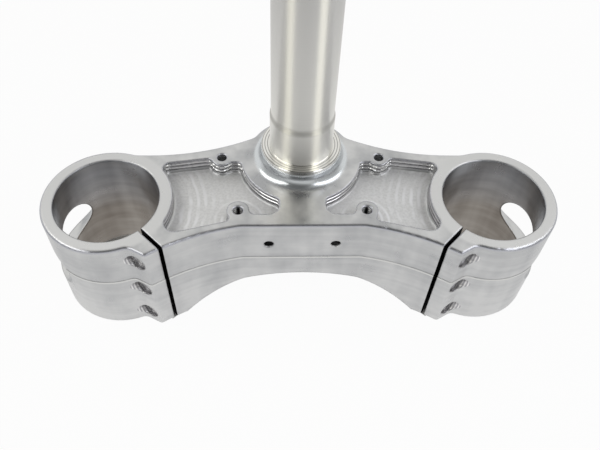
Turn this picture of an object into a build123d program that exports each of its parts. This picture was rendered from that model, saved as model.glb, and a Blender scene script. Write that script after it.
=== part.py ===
"""Lower triple clamp of a motorcycle front end: a billet yoke with a pressed-in steering stem.

Millimetres. +Z runs up the steering axis, -Y points to the front wheel, and the fork tubes stand
at +X and -X. The origin is on the steering axis, on the shoulder that carries the lower bearing.
"""
import os
from math import asin, atan2, cos, degrees, hypot, radians, sin, sqrt
from build123d import *

# Fork clamps
fork_spacing = 210.0          # between the two fork tube axes
fork_bore = 56.0              # fork tube diameter
clamp_height = 70.0           # length of fork tube that is gripped
barrel_wall = 6.7             # round the bore, above the parting step
steering_offset = 32.0        # the fork axes stand this far in front of the steering axis
bore_chamfer = 0.5

# Milling from both sides leaves the lower part of every outer wall slightly proud
parting_depth = 28.0          # below the top face
parting_step = 0.2

# Bridge between the barrels
front_face = 18.4             # flat front, ahead of the fork axes
front_flat = 66.0             # width of that flat
flat_fillet = 12.0            # where the flat turns into the sweep
sweep_radius = 130.0          # concave sweep from the flat to the ear
waist_x = 20.0                # narrowest place of the back sweep, inside the fork axis
waist_y = 32.6                # the same place, behind the fork axes
waist_fillet = 12.0
arch_radius = 101.0           # underside
arch_crown = 44.1             # thickness of the bridge at the middle
edge_round = 1.3              # polished outer edges

# Pinch slit, ear and bolts
slit_width = 2.0
slit_angle = 45.5             # from the fork row towards the front
ear_tip_x = 24.0              # inside the fork axis
ear_tip_y = 36.8              # ahead of the fork axis
ear_tip_round = 2.0
notch_x = 14.5                # the ear's flank meets the barrel this far inside the fork axis
notch_fillet = 6.0
pinch_radius = 36.6           # from the fork axis to the bolt axis
pinch_pitch = 24.5
pinch_count = 3
pinch_middle = 35.7           # middle of the row, below the top face
pinch_clearance = 6.4         # through the ear
pinch_tap = 5.0               # in the bridge
pinch_thread_depth = 10.0
pinch_head = 10.5             # counterbore for the bolt's head
pinch_grip = 8.0              # from the middle of the slit to the counterbore's floor

# Round scallop across the outer wall of each barrel, deep enough to open a window into the bore
scallop_diameter = 25.4
scallop_centre = 32.4         # outside the fork axis
scallop_depth = 34.5          # below the top face
scallop_turn = 4.0            # degrees from square to the fork row

# Pocketed top of the bridge, places measured from the middle and from the fork row
pocket_depth = 8.0
pocket_floor_round = 1.2
pocket_fork_wall = 7.0        # between the pocket and the fork bore
pocket_land_radius = 34.0     # land left standing round the steering axis
pocket_middle_land = 25.0     # land between the two pockets
pocket_lobe_front = 10.4      # front wall, ahead of the fork row
pocket_front_inner = 13.6     # beyond the front tapped hole this wall slants,
pocket_front_outer = 31.4     # and would reach this far ahead at the fork axis
pocket_back_inner = 27.0      # back wall, behind the fork row
pocket_back_middle = 30.8     # beyond the back tapped hole this wall slants,
pocket_back_outer = 21.7      # and would reach this far behind at the fork axis
pocket_front_corner = 6.0
pocket_back_corner = 4.0
pocket_small_corner = 3.0     # beside the pads and the land
pad_radius = 6.0              # pads left standing round the tapped holes

# Tapped holes for the brackets that bolt to the yoke
tap_hole = 5.0
tap_depth = 14.0
tap_mouth = 0.6               # countersink at the mouth
drill_point = 0.6             # height of a drill's point, in hole radii
back_hole_x = 44.6
back_hole_y = 30.5            # behind the fork axes
front_hole_x = 34.6
front_hole_y = 7.7            # ahead of the fork axes
face_hole_x = 18.25
face_hole_depth = 16.7        # below the top face

# Raised boss under the stem
boss_plan_radius = 30.0       # back of the bridge, round the steering axis
boss_meet = 60.7              # degrees from straight back, where the back sweep meets it
boss_fillet = 8.0             # at that place
boss_rise = 7.5
boss_top_radius = 22.5
cove_radius = 6.0

# Steering stem
press_diameter = 36.0         # in the bridge
collar_radius = 22.2
collar_height = 2.5
collar_edge = 0.4             # chamfers of the collar and of the boss under it
seat_diameter = 35.0          # lower bearing seat
seat_length = 24.7
seat_lead = 2.0               # taper from the seat to the shaft
shaft_diameter = 33.8
stem_height = 190.0           # above the bearing shoulder
stem_bore = 24.0
stem_chamfer = 1.5

same_place = 0.01             # corners closer than this are taken as one place

# Places worked out from the sizes above
bore_radius = fork_bore / 2
barrel_radius = bore_radius + barrel_wall
fork_x = fork_spacing / 2
fork_y = -steering_offset
top = -collar_height - boss_rise
bottom = top - clamp_height
parting = top - parting_depth
crown = top - arch_crown
boss_join = Vector(sin(radians(boss_meet)), cos(radians(boss_meet))) * boss_plan_radius
slit_out = Vector(-cos(radians(slit_angle)), -sin(radians(slit_angle)))
bolt_in = Vector(slit_out.Y, -slit_out.X)


def both_sides(shape):
    """The shape and its mirror image across the middle of the yoke."""
    return shape + mirror(shape, about=Plane.YZ)


def barrel_y(inside):
    """How far the barrel's circle lies from the fork row, at a distance inside the fork axis."""
    return sqrt(barrel_radius ** 2 - inside ** 2)


def near(shape, x, y):
    """Corners of a plan at a place, on both sides."""
    return shape.vertices().filter_by(lambda v: hypot(abs(v.X) - x, v.Y - y) < same_place)


def on_circle(shape, x, y, radius):
    """Corners of a plan that lie on a circle."""
    return shape.vertices().filter_by(lambda v: abs(hypot(abs(v.X) - x, v.Y - y) - radius) < same_place)


def front_sweep():
    """Concave arc along the front, from the end of the flat to the ear's tip."""
    start = Vector(front_flat / 2, fork_y - front_face)
    tip = Vector(fork_x - ear_tip_x, fork_y - ear_tip_y)
    chord = tip - start
    across = Vector(chord.Y, -chord.X).normalized()
    centre = (start + tip) * 0.5 + across * sqrt(sweep_radius ** 2 - (chord.length / 2) ** 2)
    first = degrees(atan2(start.Y - centre.Y, start.X - centre.X))
    last = degrees(atan2(tip.Y - centre.Y, tip.X - centre.X))
    return CenterArc(centre, sweep_radius, first, last - first)


def back_sweep():
    """Concave arc along the back, level at its waist and running into the stem boss."""
    waist = Vector(fork_x - waist_x, fork_y + waist_y)
    run = waist.X - boss_join.X
    rise = boss_join.Y - waist.Y
    radius = (run ** 2 + rise ** 2) / (2 * rise)
    return CenterArc(waist + Vector(0, radius), radius, 270, -degrees(asin(run / radius)))


def plan_outline():
    """Outline of the whole yoke seen from above."""
    front = front_sweep()
    back = back_sweep()
    foot = Vector(fork_x - notch_x, fork_y - barrel_y(notch_x))
    outer = Polyline(front @ 1, foot, (fork_x, fork_y), (fork_x, fork_y + waist_y), back @ 0)
    inner = Polyline(back @ 1, (0, (back @ 1).Y), (0, fork_y - front_face), front @ 0)
    half = make_face([front, *outer.edges(), back, *inner.edges()])
    outline = both_sides(half) + Locations((fork_x, fork_y), (-fork_x, fork_y)) * Circle(barrel_radius)
    outline += Circle(boss_plan_radius)
    waist_join = sqrt(barrel_radius ** 2 - waist_y ** 2)
    outline = fillet(near(outline, (front @ 0).X, (front @ 0).Y), flat_fillet)
    outline = fillet(near(outline, foot.X, foot.Y), notch_fillet)
    outline = fillet(near(outline, (front @ 1).X, (front @ 1).Y), ear_tip_round)
    outline = fillet(near(outline, fork_x - waist_join, fork_y + waist_y), waist_fillet)
    return fillet(near(outline, boss_join.X, boss_join.Y), boss_fillet)


def billet():
    """The yoke's outer form: the outline milled from the top, and from below with a small step."""
    outline = plan_outline()
    upper = Pos(0, 0, parting) * extrude(outline, parting_depth)
    upper = fillet(upper.faces().sort_by(Axis.Z)[-1].outer_wire().edges(), edge_round)
    lower = Pos(0, 0, bottom) * extrude(offset(outline, parting_step), parting - bottom)
    lower = fillet(lower.faces().sort_by(Axis.Z)[0].outer_wire().edges(), edge_round)
    return upper + lower


def stem_boss():
    """Raised boss round the stem, with a polished cove down to the top face."""
    foot = boss_top_radius + cove_radius
    cove_top = top + cove_radius
    boss_top = top + boss_rise
    lower = Polyline((0, crown), (foot, crown), (foot, top))
    cove = CenterArc((foot, cove_top), cove_radius, 270, -90)
    upper = Polyline(
        (boss_top_radius, cove_top), (boss_top_radius, boss_top - collar_edge),
        (boss_top_radius - collar_edge, boss_top), (0, boss_top), (0, crown))
    return revolve(Plane.XZ * make_face([*lower.edges(), cove, *upper.edges()]), Axis.Z)


def arch():
    """Round underside of the bridge, as the piece that is cut away."""
    width = 4 * (barrel_radius + steering_offset)
    return Pos(0, 0, crown - arch_radius) * Rot(90, 0, 0) * Cylinder(arch_radius, width)


def drill(diameter, depth, mouth=0.0):
    """Blind hole from the origin along +Z, with the drill's point and a countersunk mouth."""
    radius = diameter / 2
    from_mouth = (Align.CENTER, Align.CENTER, Align.MIN)
    hole = Cylinder(radius, depth, align=from_mouth)
    hole += Pos(0, 0, depth) * Cone(radius, 0, radius * drill_point, align=from_mouth)
    if mouth:
        hole += Cone(radius + mouth, radius, mouth, align=from_mouth)
    return hole


def fork_seat():
    """Bore for the fork tube, chamfered at both mouths, and the slit that lets it close."""
    mouth = bore_radius + bore_chamfer
    profile = Polyline(
        (0, bottom), (mouth, bottom), (bore_radius, bottom + bore_chamfer),
        (bore_radius, top - bore_chamfer), (mouth, top), (0, top), close=True)
    bore = revolve(Plane.XZ * make_face(profile), Axis.Z)
    reach = hypot(ear_tip_x, ear_tip_y) + ear_tip_x
    slit = Pos(slit_out * (reach / 2)) * Rot(0, 0, slit_angle) * Box(reach, slit_width, clamp_height)
    return bore + Pos(0, 0, (top + bottom) / 2) * slit


def pinch_holes():
    """Counterbores, clearance holes and tapped holes of the bolts that close the slit."""
    head_run = hypot(ear_tip_x, ear_tip_y)
    hole = Pos(0, 0, -pinch_grip - head_run / 2) * Cylinder(pinch_head / 2, head_run)
    hole += Pos(0, 0, -pinch_grip / 2) * Cylinder(pinch_clearance / 2, pinch_grip)
    hole += drill(pinch_tap, slit_width / 2 + pinch_thread_depth)
    lowest = top - pinch_middle - pinch_pitch * (pinch_count - 1) / 2
    rows = [lowest + i * pinch_pitch for i in range(pinch_count)]
    return [Plane(slit_out * pinch_radius + Vector(0, 0, z), z_dir=bolt_in) * hole for z in rows]


def scallop():
    """Round groove across the barrel's outer wall, which opens the window into the bore."""
    groove = Rot(90, 0, 0) * Cylinder(scallop_diameter / 2, 4 * barrel_radius)
    return Rot(0, 0, scallop_turn) * Pos(scallop_centre, 0, top - scallop_depth) * groove


def top_pocket():
    """Pocket in the +X half of the bridge's top, with pads left standing and a rounded floor edge."""
    left = pocket_middle_land / 2
    front_row = fork_y - pocket_lobe_front
    back_row = fork_y + pocket_back_inner
    walls = [
        (left, front_row), (front_hole_x, front_row), (front_hole_x, fork_y - pocket_front_inner),
        (fork_x, fork_y - pocket_front_outer), (fork_x, fork_y + pocket_back_outer),
        (back_hole_x, fork_y + pocket_back_middle), (back_hole_x, back_row), (left, back_row)]
    fork_wall = bore_radius + pocket_fork_wall
    pads = [(back_hole_x, fork_y + back_hole_y), (front_hole_x, fork_y - front_hole_y)]
    plan = make_face(Polyline(*walls, close=True)) - Pos(fork_x, fork_y) * Circle(fork_wall)
    plan -= [Circle(pocket_land_radius)] + [Pos(x, y) * Circle(pad_radius) for x, y in pads]
    plan = fillet(on_circle(plan, 0, 0, pocket_land_radius), pocket_small_corner)
    for x, y in pads:
        plan = fillet(on_circle(plan, x, y, pad_radius), pocket_small_corner)
    plan = fillet(on_circle(plan, fork_x, fork_y, fork_wall).sort_by(Axis.Y)[-1], pocket_back_corner)
    plan = fillet(on_circle(plan, fork_x, fork_y, fork_wall).sort_by(Axis.Y)[0], pocket_front_corner)
    plan = fillet(near(plan, left, front_row), pocket_front_corner)
    pocket = Pos(0, 0, top - pocket_depth) * extrude(plan, 2 * pocket_depth)
    return fillet(pocket.faces().sort_by(Axis.Z)[0].outer_wire().edges(), pocket_floor_round)


def bracket_holes():
    """Tapped holes of one half: two in the top face and one in the front face."""
    hole = drill(tap_hole, tap_depth, tap_mouth)
    down = Rot(180, 0, 0) * hole
    inward = Rot(-90, 0, 0) * hole
    return [
        Pos(back_hole_x, fork_y + back_hole_y, top) * down,
        Pos(front_hole_x, fork_y - front_hole_y, top) * down,
        Pos(face_hole_x, fork_y - front_face, top - face_hole_depth) * inward]


def lower_yoke():
    """The billet yoke, cut from its outer form."""
    yoke = billet() - arch() + stem_boss() - arch()
    press_hole = Pos(0, 0, (crown + top) / 2) * Cylinder(press_diameter / 2, 4 * arch_crown)
    at_fork = Pos(fork_x, fork_y, 0)
    cuts = [at_fork * cut for cut in [fork_seat(), scallop(), *pinch_holes()]]
    cuts += [top_pocket(), *bracket_holes()]
    yoke -= [press_hole, *cuts, *[mirror(cut, about=Plane.YZ) for cut in cuts]]
    return yoke


def steering_stem():
    """Turned stem: press fit, collar, bearing seat, plain shaft and through bore."""
    press = press_diameter / 2
    seat = seat_diameter / 2
    shaft = shaft_diameter / 2
    bore = stem_bore / 2
    profile = Polyline(
        (bore, crown), (press - stem_chamfer, crown), (press, crown + stem_chamfer),
        (press, -collar_height), (collar_radius - collar_edge, -collar_height),
        (collar_radius, collar_edge - collar_height), (collar_radius, -collar_edge),
        (collar_radius - collar_edge, 0), (seat, 0), (seat, seat_length - seat_lead),
        (shaft, seat_length), (shaft, stem_height - stem_chamfer), (shaft - stem_chamfer, stem_height),
        (bore + stem_chamfer, stem_height), (bore, stem_height - stem_chamfer), close=True)
    return revolve(Plane.XZ * make_face(profile), Axis.Z)


os.makedirs("parts", exist_ok=True)
export_step(lower_yoke(), "parts/lower_yoke.step")
export_step(steering_stem(), "parts/steering_stem.step")
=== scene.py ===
"""Lower triple clamp of a motorcycle front end on a white sweep: machined billet yoke and turned steering stem."""
from math import pi, radians

import bpy
import numpy as np
from mathutils import Matrix

MM = 0.001

# places on the part, from the steering axis at the shoulder that carries the lower bearing
FORK_AXIS = (105 * MM, 32 * MM)             # to the side, and towards the front
FORK_BORE = 28 * MM                         # radius
TOP = -10 * MM                              # top face of the bridge
POCKET_FLOOR = -18 * MM
POCKET_BOX = ((0, 76), (-23.6, 23.4), (-14, 4.1))   # room of both pockets: middle and half size in mm along x, y, z
PARTING = -38 * MM                          # ledge along the walls
STANDS_AT = -80 * MM                        # lower ends of the fork clamps
COVE = 28.4 * MM                            # outer radius of the cove round the stem
FRONT_PAD = (34.6 * MM, 39.7 * MM)          # tapped hole in front, given as the fork axis is
BACK_HOLE = (44.6 * MM, 1.5 * MM)           # tapped hole behind the pocket
TAPPED = 2.7 * MM                           # radius that takes in the wall of a tapped hole
SLIT_TURN = radians(-44.5)                  # turns a pinch bolt onto the x axis
SLIT_SHIFT = (-97.32 * MM, 14.18 * MM, 0)   # then brings the middle of the slit to the origin
BOLT_ROW = -21.2 * MM                       # height of the top row of pinch bolts
HALF_PITCH = 12.25 * MM                     # half the height from row to row
COUNTERBORE = 5.35 * MM                     # radius that takes in the wall of a counterbore

# the camera that fits the photograph, whose frame is 600 pixels wide
FRAME_WIDTH = 600
FOCAL_LENGTH = 668.97                       # in pixels
SENSOR = 36.0
CAMERA_PLACE = (-16.83 * MM, -261.19 * MM, 269.83 * MM)
CAMERA_HEADING, CAMERA_DOWN, CAMERA_ROLL = -4.062, 52.858, 2.999   # degrees

MATH, MIX, RANGE = "ShaderNodeMath", "ShaderNodeMix", "ShaderNodeMapRange"
NOISE, WAVES, MAPPING = "ShaderNodeTexNoise", "ShaderNodeTexWave", "ShaderNodeMapping"
ONE_WAVE = 0.314                            # length of one wave of the wave texture at scale 1


def linear(code):
    """An sRGB hex colour as linear RGBA."""
    parts = np.array([int(code[i:i + 2], 16) for i in (1, 3, 5)]) / 255
    low = parts / 12.92
    high = ((parts + 0.055) / 1.055) ** 2.4
    return (*np.where(parts <= 0.04045, low, high).tolist(), 1.0)


def add(tree, kind, inputs=None, **settings):
    """Adds a node with its settings; each input is a node or a socket to link, or a value to set."""
    made = tree.nodes.new(kind)
    for name, value in settings.items():
        setattr(made, name, value)
    for name, value in (inputs or {}).items():
        if isinstance(value, bpy.types.Node):
            value = next(socket for socket in value.outputs if socket.enabled)
        if isinstance(value, bpy.types.NodeSocket):
            tree.links.new(value, made.inputs[name])
        else:
            made.inputs[name].default_value = value
    return made


def new_material(name):
    """An empty material and its node tree."""
    material = bpy.data.materials.new(name)
    material.use_nodes = True
    material.node_tree.nodes.clear()
    return material, material.node_tree


def right_half(tree, x, y, z):
    """The place on the right half that a place mirrors to, with y towards the front."""
    side = add(tree, MATH, {0: x}, operation="ABSOLUTE")
    front = add(tree, MATH, {0: y, 1: -1.0}, operation="MULTIPLY")
    return add(tree, "ShaderNodeCombineXYZ", {0: side, 1: front, 2: z})


def round_axis(tree, place, axis=(0, 0)):
    """The level offset of a place from an upright axis, and the distance, which is that offset's length."""
    offset = add(tree, MAPPING, {
        "Vector": place, "Location": (-axis[0], -axis[1], 0), "Scale": (1, 1, 0)})
    distance = add(tree, "ShaderNodeVectorMath", {0: offset}, operation="LENGTH")
    return offset, distance.outputs["Value"]


def by_slit(tree, place):
    """A place turned so that x runs along a pinch bolt from the slit and y along the slit from the bolt."""
    return add(tree, MAPPING, {"Vector": place, "Location": SLIT_SHIFT, "Rotation": (0, 0, SLIT_TURN)})


def milled_billet_aluminium():
    """Aluminium milled from billet.

    The eye sees soft grey satin faces, arcs of the cutter on the pocket floors, level passes on the
    pocket walls, brownish bored seats, dark slits, and bright polished rounds along the outer
    edges and in the cove. Painted light is laid into the colour too: painted highlights on the
    parting ledge, the pocket walls and the front threads, painted light from the floor low on the
    walls, painted dark reflection on the edge rounds, and painted shade that makes the slits near black.
    """
    material, t = new_material("milled_billet_aluminium")
    coords = add(t, "ShaderNodeTexCoord")
    place = coords.outputs["Object"]
    x, y, z = add(t, "ShaderNodeSeparateXYZ", {0: place}).outputs
    # edges broken by hand, about 1.6 mm across
    broken_edge = add(t, "ShaderNodeBevel", {"Radius": 1.6 * MM}, samples=6)
    lean_x, _, lean_z = add(t, "ShaderNodeSeparateXYZ", {0: broken_edge}).outputs
    right = right_half(t, x, y, z)
    from_fork, fork_distance = round_axis(t, right, FORK_AXIS)
    from_pad, pad_distance = round_axis(t, right, FRONT_PAD)
    back_hole_distance = round_axis(t, right, BACK_HOLE)[1]
    stem_distance = round_axis(t, place)[1]
    from_slit = by_slit(t, right)
    past_slit, along_slit, _ = add(t, "ShaderNodeSeparateXYZ", {0: from_slit}).outputs
    below_row = add(t, MATH, {0: z, 1: -BOLT_ROW}, operation="ADD")
    row_height = add(t, MATH, {0: below_row, 1: HALF_PITCH}, operation="PINGPONG")
    bolt_offset = add(t, "ShaderNodeCombineXYZ", {0: along_slit, 1: row_height})
    bolt_distance = add(t, "ShaderNodeVectorMath", {0: bolt_offset}, operation="LENGTH").outputs["Value"]

    # the ways that faces look
    faces_up = add(t, RANGE, {"Value": lean_z, "From Min": 0.9, "From Max": 0.97})
    steep = add(t, RANGE, {"Value": lean_z, "From Min": 0.2, "From Max": 0.05})
    flatness = add(t, MATH, {0: faces_up, 1: steep}, operation="ADD", use_clamp=True)
    wall_turn = add(t, MATH, {0: lean_x}, operation="ABSOLUTE")

    # floors, ledges and polished rounds
    at_floor = add(t, MATH, {0: z, 1: POCKET_FLOOR, 2: 1 * MM}, operation="COMPARE")
    on_floor = add(t, MATH, {0: faces_up, 1: at_floor}, operation="MULTIPLY")
    # painted highlight: the parting ledge is painted near white and a band just below it on the walls is painted pale,
    # where the ledge catches light
    at_ledge = add(t, MATH, {0: z, 1: PARTING, 2: 0.15 * MM}, operation="COMPARE")
    on_ledge = add(t, MATH, {0: faces_up, 1: at_ledge}, operation="MULTIPLY")
    below_ledge = add(t, MATH, {0: z, 1: PARTING - 0.7 * MM, 2: 0.7 * MM}, operation="COMPARE")
    painted_ledge_highlight = add(t, MATH, {0: below_ledge, 1: steep}, operation="MULTIPLY")
    near_stem = add(t, MATH, {0: stem_distance, 1: COVE}, operation="LESS_THAN")
    raised = add(t, MATH, {0: z, 1: TOP - 0.1 * MM}, operation="GREATER_THAN")
    in_cove = add(t, MATH, {0: near_stem, 1: raised}, operation="MULTIPLY")
    cove_curve = add(t, MATH, {0: in_cove, 1: faces_up}, operation="SUBTRACT", use_clamp=True)
    off_bore = add(t, MATH, {0: fork_distance, 1: FORK_BORE + 1.6 * MM}, operation="GREATER_THAN")
    above = add(t, MATH, {0: z, 1: TOP - 2 * MM}, operation="GREATER_THAN")
    outer_edge = add(t, MATH, {0: above, 1: off_bore}, operation="MULTIPLY")
    rounded = add(t, MATH, {0: outer_edge, 1: flatness}, operation="SUBTRACT", use_clamp=True)
    polished = add(t, MATH, {0: rounded, 1: cove_curve}, operation="MAXIMUM")

    # bores, tapped holes, pinch bolts and slits
    in_bore = add(t, MATH, {0: fork_distance, 1: FORK_BORE + 0.3 * MM}, operation="LESS_THAN")
    ring_edge = add(t, RANGE, {"Value": fork_distance, "From Min": 36.5 * MM, "From Max": 34.5 * MM})
    ring_top = add(t, MATH, {0: ring_edge, 1: faces_up}, operation="MULTIPLY")
    hole_distance = add(t, MATH, {0: pad_distance, 1: back_hole_distance}, operation="MINIMUM")
    in_hole = add(t, MATH, {0: hole_distance, 1: TAPPED}, operation="LESS_THAN")
    in_pad_hole = add(t, MATH, {0: pad_distance, 1: TAPPED}, operation="LESS_THAN")
    by_bolt = add(t, MATH, {0: bolt_distance, 1: COUNTERBORE}, operation="LESS_THAN")
    on_head_side = add(t, MATH, {0: past_slit, 1: 1.5 * MM}, operation="GREATER_THAN")
    in_counterbore = add(t, MATH, {0: by_bolt, 1: on_head_side}, operation="MULTIPLY")
    # painted shade: the walls of the slit are painted near black, as the narrow slit lies in shade
    in_slit_width = add(t, MATH, {0: past_slit, 1: 0.0, 2: 1.06 * MM}, operation="COMPARE")
    on_slit_side = add(t, MATH, {0: along_slit, 1: -9 * MM}, operation="GREATER_THAN")
    in_slit = add(t, MATH, {0: in_slit_width, 1: on_slit_side}, operation="MULTIPLY")

    # walls of the pockets, their back corners, and the part of them beside the stem
    within = [add(t, MATH, {0: axis, 1: middle * MM, 2: half * MM}, operation="COMPARE")
              for axis, (middle, half) in zip((x, y, z), POCKET_BOX)]
    pocket_plan = add(t, MATH, {0: within[0], 1: within[1]}, operation="MULTIPLY")
    pocket_room = add(t, MATH, {0: pocket_plan, 1: within[2]}, operation="MULTIPLY")
    walls = add(t, MATH, {0: steep, 1: in_hole}, operation="SUBTRACT", use_clamp=True)
    pocket_wall = add(t, MATH, {0: pocket_room, 1: walls}, operation="MULTIPLY")
    turning = add(t, RANGE, {"Value": wall_turn, "From Min": 0.12, "From Max": 0.3})
    at_back = add(t, MATH, {0: y, 1: -15 * MM}, operation="GREATER_THAN")
    corner = add(t, MATH, {0: turning, 1: at_back}, operation="MULTIPLY")
    wall_corner = add(t, MATH, {0: corner, 1: pocket_wall}, operation="MULTIPLY")
    by_stem = add(t, RANGE, {"Value": stem_distance, "From Min": 47 * MM, "From Max": 41 * MM})

    # cutter arcs on the pocket floors, 4.2 mm apart round the fork axis and 3.6 mm round the front pads
    fork_arcs = add(t, WAVES, {
        "Vector": from_fork, "Scale": ONE_WAVE / (4.2 * MM), "Distortion": 3.0, "Detail": 2.0, "Detail Scale": 0.9},
        wave_type="RINGS", rings_direction="Z")
    pad_arcs = add(t, WAVES, {
        "Vector": from_pad, "Scale": ONE_WAVE / (3.6 * MM), "Distortion": 2.4, "Detail": 2.0, "Detail Scale": 1.0},
        wave_type="RINGS", rings_direction="Z")
    by_pad = add(t, RANGE, {"Value": pad_distance, "From Min": 18 * MM, "From Max": 13 * MM})
    arcs = add(t, MIX, {0: by_pad, 2: fork_arcs.outputs["Fac"], 3: pad_arcs.outputs["Fac"]})
    # patches about 11 mm across where the arcs show more
    patches = add(t, NOISE, {"Vector": place, "Scale": 1 / (11 * MM), "Detail": 1.0})
    patchy = add(t, RANGE, {"Value": patches, "From Min": 0.4, "From Max": 0.62})
    shown = add(t, RANGE, {"Value": arcs, "From Min": 0.4, "From Max": 0.95})
    strokes = add(t, MATH, {0: shown, 1: patchy}, operation="MULTIPLY")
    # the arcs fade away from the centres that they were cut round
    by_fork = add(t, RANGE, {"Value": fork_distance, "From Min": 66 * MM, "From Max": 46 * MM, "To Min": 0.12})
    arc_reach = add(t, MATH, {0: by_fork, 1: by_pad}, operation="MAXIMUM")
    near_strokes = add(t, MATH, {0: strokes, 1: arc_reach}, operation="MULTIPLY")
    floor_strokes = add(t, MATH, {0: near_strokes, 1: on_floor}, operation="MULTIPLY")

    # three level passes of the end mill down the pocket walls, 2.7 mm each
    passes = add(t, WAVES, {
        "Vector": place, "Scale": ONE_WAVE / (2.7 * MM), "Distortion": 0.8, "Phase Offset": 1.2},
        wave_type="BANDS", bands_direction="Z").outputs["Fac"]
    wall_passes = add(t, MATH, {0: passes, 1: pocket_wall}, operation="MULTIPLY")
    # chatter of the cutter in the pockets' back corners, about 2.4 mm across
    chatter = add(t, "ShaderNodeTexVoronoi", {"Vector": place, "Scale": 1 / (2.4 * MM)})
    corner_chatter = add(t, MATH, {0: chatter, 1: wall_corner}, operation="MULTIPLY")
    # rings of the tool in the pinch bolt holes, drawn 1.7 mm apart because the real 0.3 mm would not show
    tool_rings = add(t, WAVES, {"Vector": from_slit, "Scale": ONE_WAVE / (1.7 * MM), "Distortion": 0.4},
                     wave_type="BANDS", bands_direction="X").outputs["Fac"]
    # thread of the tapped holes, drawn at 1.6 mm because the real pitch of 1 mm would not show
    thread = add(t, WAVES, {"Vector": place, "Scale": ONE_WAVE / (1.6 * MM)},
                 wave_type="BANDS", bands_direction="Z").outputs["Fac"]
    hole_thread = add(t, MATH, {0: thread, 1: in_hole}, operation="MULTIPLY")

    # level streaks on the walls, about 4 mm high and 70 mm long
    streak_place = add(t, MAPPING, {"Vector": place, "Scale": (1 / (70 * MM), 1 / (70 * MM), 1 / (4 * MM))})
    streaks = add(t, NOISE, {"Vector": streak_place, "Scale": 1.0, "Detail": 4.0})
    # soft clouding left by hand polishing, about 14 mm across
    clouds = add(t, NOISE, {"Vector": place, "Scale": 1 / (14 * MM), "Detail": 3.0})
    # upright shading where the polishing wheel passed down the walls, about 11 mm wide and 90 mm high
    wheel_place = add(t, MAPPING, {"Vector": place, "Scale": (1 / (11 * MM), 1 / (11 * MM), 1 / (90 * MM))})
    wheel = add(t, NOISE, {"Vector": wheel_place, "Scale": 1.0, "Detail": 2.0})
    # grain of the cut metal, drawn at 0.7 mm because the real 0.1 mm would not show
    grain = add(t, NOISE, {"Vector": place, "Scale": 1 / (0.7 * MM), "Detail": 2.0})
    # fine scoring of the pocket floors, drawn at 1.3 mm because the real 0.2 mm would not show
    scratches = add(t, NOISE, {"Vector": place, "Scale": 1 / (1.3 * MM), "Detail": 2.0})
    # boring marks round the fork seats, about 5 mm high
    bore_place = add(t, MAPPING, {"Vector": place, "Scale": (1 / (30 * MM), 1 / (30 * MM), 1 / (5 * MM))})
    bore_marks = add(t, NOISE, {"Vector": bore_place, "Scale": 1.0, "Detail": 3.0})

    # relief: passes cut sharper in the corners and beside the stem, and thread that is cleaner in front
    sharp = add(t, MATH, {0: by_stem, 1: corner}, operation="MAXIMUM")
    pass_depth = add(t, MIX, {0: sharp, 2: 0.07, 3: 0.36})
    chatter_depth = add(t, MATH, {0: corner_chatter, 1: 0.5}, operation="MULTIPLY")
    steps = add(t, MATH, {0: wall_passes, 1: pass_depth, 2: chatter_depth}, operation="MULTIPLY_ADD")
    thread_depth = add(t, MIX, {0: in_pad_hole, 2: 0.06, 3: 0.15})
    relief = add(t, MATH, {0: hole_thread, 1: thread_depth, 2: steps}, operation="MULTIPLY_ADD")
    # the pocket walls keep their sharp corners
    form = add(t, MIX, {0: pocket_wall, 4: broken_edge, 5: coords.outputs["Normal"]}, data_type="VECTOR")
    facets = add(t, "ShaderNodeBump", {"Height": relief, "Strength": 1.0, "Distance": 3.4 * MM, "Normal": form})
    # fine marks: arcs on the floors, streaks on the walls, and grain where nothing is polished
    wall_marks = add(t, MATH, {0: streaks, 1: steep}, operation="MULTIPLY")
    floor_marks = add(t, MATH, {0: arcs, 1: on_floor}, operation="MULTIPLY")
    cut_marks = add(t, MATH, {0: floor_marks, 1: 1.6, 2: wall_marks}, operation="MULTIPLY_ADD")
    unpolished = add(t, MATH, {0: 0.2, 1: polished}, operation="SUBTRACT", use_clamp=True)
    fine = add(t, MATH, {0: grain, 1: unpolished, 2: cut_marks}, operation="MULTIPLY_ADD")
    marks = add(t, "ShaderNodeBump", {"Height": fine, "Strength": 0.3, "Distance": 0.03 * MM, "Normal": facets})

    # roughness: satin faces, then each finish laid over the ones before it
    rough = add(t, RANGE, {"Value": clouds, "From Min": 0.3, "From Max": 0.7, "To Min": 0.26, "To Max": 0.36})
    for lies_here, level in ((on_floor, 0.85), (pocket_wall, 0.16), (on_ledge, 0.9), (polished, 0.2), (in_slit, 1.0)):
        rough = add(t, MIX, {0: lies_here, 2: rough, 3: level})
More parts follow.
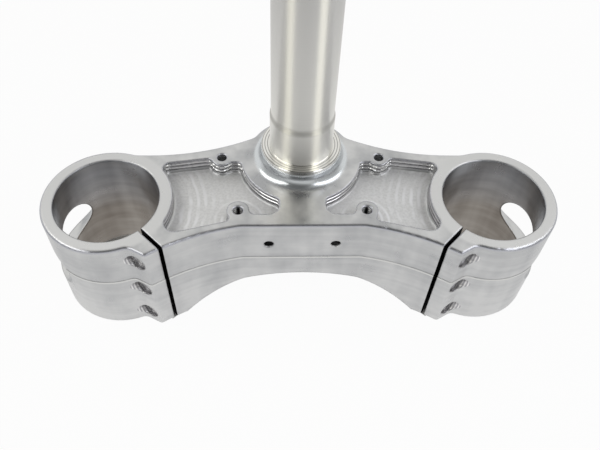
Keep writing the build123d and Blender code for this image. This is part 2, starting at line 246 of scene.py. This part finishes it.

    # tones of the finishes, with painted light laid in where it is noted
    wall_play = add(t, MIX, {0: 0.55, 2: streaks, 3: wheel})
    wall_blotches = add(t, MIX, {0: 0.4, 2: wall_play, 3: clouds})
    # painted light: the walls grow lighter towards the bottom, as if lit from the white floor; the satin tone mixes
    # this with the polishing blotches
    painted_floor_bounce = add(t, RANGE, {"Value": z, "From Min": -36 * MM, "From Max": -76 * MM, "To Max": 0.12})
    wall_blotches_and_bounce = add(t, MATH, {0: wall_blotches, 1: painted_floor_bounce}, operation="ADD")
    shade = add(t, MIX, {0: steep, 2: clouds, 3: wall_blotches_and_bounce})
    wear_and_painted_bounce = add(t, RANGE, {"Value": shade, "From Min": 0.35, "From Max": 0.66})
    satin = add(t, MIX, {0: wear_and_painted_bounce, 6: linear("#b2b3b5"), 7: linear("#d8d8d8")}, data_type="RGBA")
    scored = add(t, RANGE, {"Value": scratches, "From Min": 0.35, "From Max": 0.65})
    floor_grain = add(t, MIX, {0: scored, 6: linear("#ececec"), 7: linear("#f4f4f4")}, data_type="RGBA")
    # the passes are drawn as light and dark stripes; beside the stem they are painted brighter, a painted highlight
    outer_pass = add(t, MIX, {0: passes, 6: linear("#a3a1a7"), 7: linear("#f0eff0")}, data_type="RGBA")
    inner_pass = add(t, MIX, {0: passes, 6: linear("#c4c3c8"), 7: linear("#fdfdfd")}, data_type="RGBA")
    pass_stripes_and_glints = add(t, MIX, {0: by_stem, 6: outer_pass, 7: inner_pass}, data_type="RGBA")
    # painted highlight: the back corners of the pockets are painted near white so that their glints shine
    wall_tone_and_glints = add(t, MIX, {0: wall_corner, 6: pass_stripes_and_glints, 7: linear("#fafafa")}, data_type="RGBA")
    bore_shade = add(t, MIX, {0: 0.6, 2: bore_marks, 3: wheel})
    bore_worn = add(t, RANGE, {"Value": bore_shade, "From Min": 0.3, "From Max": 0.7})
    brown = add(t, MIX, {0: bore_worn, 6: linear("#7d756d"), 7: linear("#a9a39c")}, data_type="RGBA")
    cool = add(t, MIX, {0: bore_worn, 6: linear("#93959b"), 7: linear("#c3c5c9")}, data_type="RGBA")
    bore_mouth = add(t, RANGE, {"Value": z, "From Min": -50 * MM, "From Max": -18 * MM})
    bored = add(t, MIX, {0: bore_mouth, 6: brown, 7: cool}, data_type="RGBA")
    # painted highlight and shade: the front threads are painted white at both sides of the hole and near black between
    shining_sides = add(t, RANGE, {"Value": wall_turn, "From Min": 0.3, "From Max": 0.6})
    painted_thread_glint = add(t, MIX, {0: shining_sides, 6: linear("#262626"), 7: linear("#ffffff")}, data_type="RGBA")
    ring_tone = add(t, MIX, {0: tool_rings, 6: linear("#a8a7ac"), 7: linear("#f0efee")}, data_type="RGBA")
    # painted reflection: the edge rounds are painted darker and bluer than the cove, for the dark room in front that
    # they reflect
    polish_tone_and_dark_edges = add(t, MIX, {0: in_cove, 6: linear("#bebfc6"), 7: linear("#d9dde0")}, data_type="RGBA")
    # each tone is laid over the ones before it: the ledge, the band below it, the pocket corners, the walls beside the
    # stem and the sides of the front threads carry painted highlights, the edge rounds a painted dark reflection, and
    # the slits painted shade near black
    tone = satin
    for lies_here, finish in (
            (ring_top, linear("#d6d6d6")), (on_floor, floor_grain), (floor_strokes, linear("#fcfcfd")),
            (painted_ledge_highlight, linear("#dfdfdd")), (pocket_wall, wall_tone_and_glints), (in_bore, bored), (in_pad_hole, painted_thread_glint),
            (in_counterbore, ring_tone), (on_ledge, linear("#fafafa")), (polished, polish_tone_and_dark_edges),
            (in_slit, linear("#070707"))):
        tone = add(t, MIX, {0: lies_here, 6: tone, 7: finish}, data_type="RGBA")

    # the cut runs level round the walls and in rings round the stem on the tops, so gloss spreads across it
    across = add(t, MAPPING, {"Vector": place, "Location": (0, 0, 1), "Scale": (0.5, 0.5, 0)})
    shader = add(t, "ShaderNodeBsdfPrincipled", {
        "Base Color": tone, "Metallic": 1.0, "Roughness": rough, "Anisotropic": 0.5,
        "Tangent": across, "Normal": marks})
    add(t, "ShaderNodeOutputMaterial", {"Surface": shader})
    return material


def turned_aluminium():
    """Aluminium turned on a lathe and polished.

    The eye sees soft upright bands of light and dark, with fine rings round the foot and a dull band
    where the bearing seat steps down to the shaft.
    """
    material, t = new_material("turned_aluminium")
    place = add(t, "ShaderNodeTexCoord").outputs["Object"]
    z = add(t, "ShaderNodeSeparateXYZ", {0: place}).outputs[2]
    # turning rings about 0.9 mm apart along the shaft
    ring_place = add(t, MAPPING, {"Vector": place, "Scale": (1, 1, 1 / (0.9 * MM))})
    rings = add(t, NOISE, {"Vector": ring_place, "Scale": 1.0, "Detail": 2.0})
    # rings on the collar, drawn 1.5 mm apart because the real 0.2 mm would not show
    from_axis = add(t, MAPPING, {"Vector": place, "Scale": (1, 1, 0)})
    foot_rings = add(t, WAVES, {"Vector": from_axis, "Scale": ONE_WAVE / (1.5 * MM)},
                     wave_type="RINGS", rings_direction="Z").outputs["Fac"]
    foot_grooves = add(t, RANGE, {"Value": foot_rings, "From Min": 0.75, "From Max": 1.0})
    at_foot = add(t, RANGE, {"Value": z, "From Min": 0.6 * MM, "From Max": 0.2 * MM})
    foot_lines = add(t, MATH, {0: foot_grooves, 1: at_foot}, operation="MULTIPLY")
    # the dull band fades in from 21 mm above the collar and is gone again at 26.8 mm
    band_low = add(t, RANGE, {"Value": z, "From Min": 21.0 * MM, "From Max": 23.4 * MM})
    band_high = add(t, RANGE, {"Value": z, "From Min": 26.8 * MM, "From Max": 24.2 * MM})
    dull = add(t, MATH, {0: band_low, 1: band_high}, operation="MULTIPLY")

    ring_height = add(t, MATH, {0: foot_lines, 1: 3.0, 2: rings}, operation="MULTIPLY_ADD")
    marks = add(t, "ShaderNodeBump", {"Height": ring_height, "Strength": 0.2, "Distance": 0.02 * MM})
    # polished by hand at the foot; the tone grows darker towards the top of the shaft, from 25 mm up to 105 mm
    darker_up_shaft = add(t, RANGE, {"Value": z, "From Min": 25 * MM, "From Max": 105 * MM})
    tone = add(t, MIX, {0: rings, 6: linear("#e5e4e0"), 7: linear("#eeede9")}, data_type="RGBA")
    for lies_here, finish in ((darker_up_shaft, "#cfcecc"), (dull, "#c9c8c4"), (foot_lines, "#8e8d8b")):
        tone = add(t, MIX, {0: lies_here, 6: tone, 7: linear(finish)}, data_type="RGBA")
    shaft_rough = add(t, MIX, {0: dull, 2: 0.38, 3: 0.48})
    rough = add(t, MIX, {0: at_foot, 2: shaft_rough, 3: 0.14})
    around = add(t, MAPPING, {"Vector": place, "Location": (0, 0, 1), "Scale": (0.5, 0.5, 0)})
    shader = add(t, "ShaderNodeBsdfPrincipled", {
        "Base Color": tone, "Metallic": 1.0, "Roughness": rough, "Anisotropic": 0.92,
        "Tangent": around, "Normal": marks})
    add(t, "ShaderNodeOutputMaterial", {"Surface": shader})
    return material


def white_paper():
    """White paper of the sweep: plain to the camera and in the metal, but shaded inside the fork bores and slits."""
    material, t = new_material("white_paper")
    path = add(t, "ShaderNodeLightPath")
    place = add(t, "ShaderNodeTexCoord").outputs["Object"]
    right = right_half(t, *add(t, "ShaderNodeSeparateXYZ", {0: place}).outputs)
    fork_distance = round_axis(t, right, FORK_AXIS)[1]
    open_floor = add(t, RANGE, {
        "Value": fork_distance, "From Min": FORK_BORE + 3 * MM, "From Max": FORK_BORE + 7 * MM, "To Max": 0.95})
    past_slit, along_slit, _ = add(t, "ShaderNodeSeparateXYZ", {0: by_slit(t, right)}).outputs
    slit_width = add(t, MATH, {0: past_slit, 1: 0.0, 2: 2.2 * MM}, operation="COMPARE")
    slit_length = add(t, MATH, {0: along_slit, 1: -0.7 * MM, 2: 9.2 * MM}, operation="COMPARE")
    under_slit = add(t, MATH, {0: slit_width, 1: slit_length}, operation="MULTIPLY")
    lit_floor = add(t, MATH, {0: open_floor, 1: under_slit}, operation="SUBTRACT", use_clamp=True)
    paper = add(t, "ShaderNodeBsdfDiffuse", {"Color": linear("#f4f4f2")})
    glow = add(t, "ShaderNodeEmission", {"Color": (1, 1, 1, 1), "Strength": 1.0})
    seen = add(t, MATH, {0: path.outputs["Is Camera Ray"], 1: lit_floor}, operation="MULTIPLY")
    in_metal = add(t, MATH, {
        0: path.outputs["Is Glossy Ray"], 1: path.outputs["Is Transmission Ray"]}, operation="MAXIMUM")
    share = add(t, MATH, {0: in_metal, 1: 0.66, 2: seen}, operation="MULTIPLY_ADD")
    mixed = add(t, "ShaderNodeMixShader", {0: share, 1: paper, 2: glow})
    add(t, "ShaderNodeOutputMaterial", {"Surface": mixed})
    return material


def white_sweep():
    """The paper under the part: x and y run over a square grid, and z is the height that the part stands at."""
    reach, count = 3.0, 9   # metres from the middle, and points along each side
    steps = np.linspace(-reach, reach, count)
    across, along = np.meshgrid(steps, steps)
    points = np.stack([across, along, np.full_like(across, STANDS_AT)], -1).reshape(-1, 3)
    first = (np.arange(count - 1)[:, None] * count + np.arange(count - 1)).ravel()
    quads = np.stack([first, first + 1, first + count + 1, first + count], 1)
    mesh = bpy.data.meshes.new("white_sweep")
    mesh.from_pydata(points.tolist(), [], quads.tolist())
    mesh.materials.append(white_paper())
    sweep = bpy.data.objects.new("white_sweep", mesh)
    bpy.context.scene.collection.objects.link(sweep)


def strip_box(name, place, turn, size, radiance, colour):
    """A long soft box; its turn is in degrees, and its power follows from the radiance of its cloth."""
    lamp = bpy.data.lights.new(name, "AREA")
    lamp.shape = "RECTANGLE"
    lamp.size, lamp.size_y = size
    lamp.energy = radiance * pi * size[0] * size[1]
    lamp.color = linear(colour)[:3]
    box = bpy.data.objects.new(name, lamp)
    box.location = place
    box.rotation_euler = [radians(angle) for angle in turn]
    box.visible_camera = False
    bpy.context.scene.collection.objects.link(box)
    return box


def soft_boxes(stem):
    """Two long soft boxes overhead, and a panel at each side that is flagged off the yoke and lights the stem alone."""
    overhead, panel = (0.3, 1.2), (0.28, 0.6)   # metres
    strip_box("left_overhead", (-0.62, -0.30, 0.70), (0, -41.5, 0), overhead, radiance=2.0, colour="#fcfbf7")
    strip_box("right_overhead", (0.64, -0.32, 0.70), (0, 42.4, 0), overhead, radiance=2.0, colour="#f8faff")
    left = strip_box("left_panel", (-0.57, -0.49, 0.22), (90, 0, -49), panel, radiance=1.9, colour="#fffce4")
    right = strip_box("right_panel", (0.52, -0.54, 0.22), (90, 0, 44), panel, radiance=2.4, colour="#fffdea")
    stem_alone = bpy.data.collections.new("stem_alone")
    stem_alone.objects.link(stem)
    for box in (left, right):
        box.light_linking.receiver_collection = stem_alone


def grey_room():
    """Grey walls, white paper behind the part, a paler front, and a darker ceiling and place round the camera."""
    world = bpy.data.worlds.new("grey_room")
    bpy.context.scene.world = world
    world.use_nodes = True
    t = world.node_tree
    t.nodes.clear()
    path = add(t, "ShaderNodeLightPath")
    direction = add(t, "ShaderNodeTexCoord").outputs["Generated"]
    _, to_back, upwards = add(t, "ShaderNodeSeparateXYZ", {0: direction}).outputs
    # the metal shows the paper too
    backdrop = add(t, RANGE, {
        "Value": to_back, "From Min": -0.05, "From Max": 0.45, "To Max": 0.78}, interpolation_type="SMOOTHSTEP")
    in_metal = add(t, MATH, {
        0: path.outputs["Is Glossy Ray"], 1: path.outputs["Is Transmission Ray"]}, operation="MAXIMUM")
    shown = add(t, MATH, {0: backdrop, 1: in_metal}, operation="MULTIPLY")
    walls_and_paper = add(t, MIX, {0: shown, 2: 0.5, 3: 1.0})
    in_front = add(t, RANGE, {
        "Value": to_back, "From Min": -0.75, "From Max": -0.95, "To Max": 0.22}, interpolation_type="SMOOTHSTEP")
    ceiling = add(t, RANGE, {
        "Value": upwards, "From Min": 0.8, "From Max": 0.97, "To Max": 0.3}, interpolation_type="SMOOTHSTEP")
    to_camera = add(t, "ShaderNodeVectorMath", {
        0: direction, 1: (-0.13, -0.74, 0.66)}, operation="DOT_PRODUCT").outputs["Value"]
    by_camera = add(t, RANGE, {
        "Value": to_camera, "From Min": 0.82, "From Max": 0.97, "To Max": 0.35}, interpolation_type="SMOOTHSTEP")
    sides = add(t, MATH, {0: walls_and_paper, 1: in_front}, operation="ADD")
    room = add(t, MATH, {0: sides, 1: ceiling}, operation="SUBTRACT")
    shaded = add(t, MATH, {0: room, 1: by_camera}, operation="SUBTRACT")
    level = add(t, MATH, {0: shaded, 1: 0.15}, operation="MAXIMUM")
    strength = add(t, MIX, {0: path.outputs["Is Camera Ray"], 2: level, 3: 1.0})
    light = add(t, "ShaderNodeBackground", {"Color": linear("#fbfbf9"), "Strength": strength})
    add(t, "ShaderNodeOutputWorld", {"Surface": light})


def photo_camera():
    """Camera at the photograph's place: a little left of the middle, looking down at 53 degrees."""
    lens = bpy.data.cameras.new("photo_camera")
    lens.sensor_width = SENSOR
    lens.lens = SENSOR * FOCAL_LENGTH / FRAME_WIDTH
    lens.clip_start = 0.01
    camera = bpy.data.objects.new("photo_camera", lens)
    heading = Matrix.Rotation(radians(CAMERA_HEADING), 4, "Z")
    tilt = Matrix.Rotation(radians(90 - CAMERA_DOWN), 4, "X")
    roll = Matrix.Rotation(radians(CAMERA_ROLL), 4, "Z")
    camera.matrix_world = Matrix.Translation(CAMERA_PLACE) @ heading @ tilt @ roll
    bpy.context.scene.collection.objects.link(camera)
    bpy.context.scene.camera = camera


def dress(node, material):
    """Gives a CAD node its finish."""
    node.data.materials.clear()
    node.data.materials.append(material)


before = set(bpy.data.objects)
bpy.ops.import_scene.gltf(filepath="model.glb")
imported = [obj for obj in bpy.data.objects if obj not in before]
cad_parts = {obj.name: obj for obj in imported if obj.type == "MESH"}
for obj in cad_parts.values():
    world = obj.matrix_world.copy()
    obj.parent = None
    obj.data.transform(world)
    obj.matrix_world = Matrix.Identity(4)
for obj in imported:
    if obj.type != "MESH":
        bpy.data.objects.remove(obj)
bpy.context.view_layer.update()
bpy.context.scene.view_settings.view_transform = "Standard"
dress(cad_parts["lower_yoke"], milled_billet_aluminium())
dress(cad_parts["steering_stem"], turned_aluminium())
white_sweep()
soft_boxes(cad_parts["steering_stem"])
grey_room()
photo_camera()
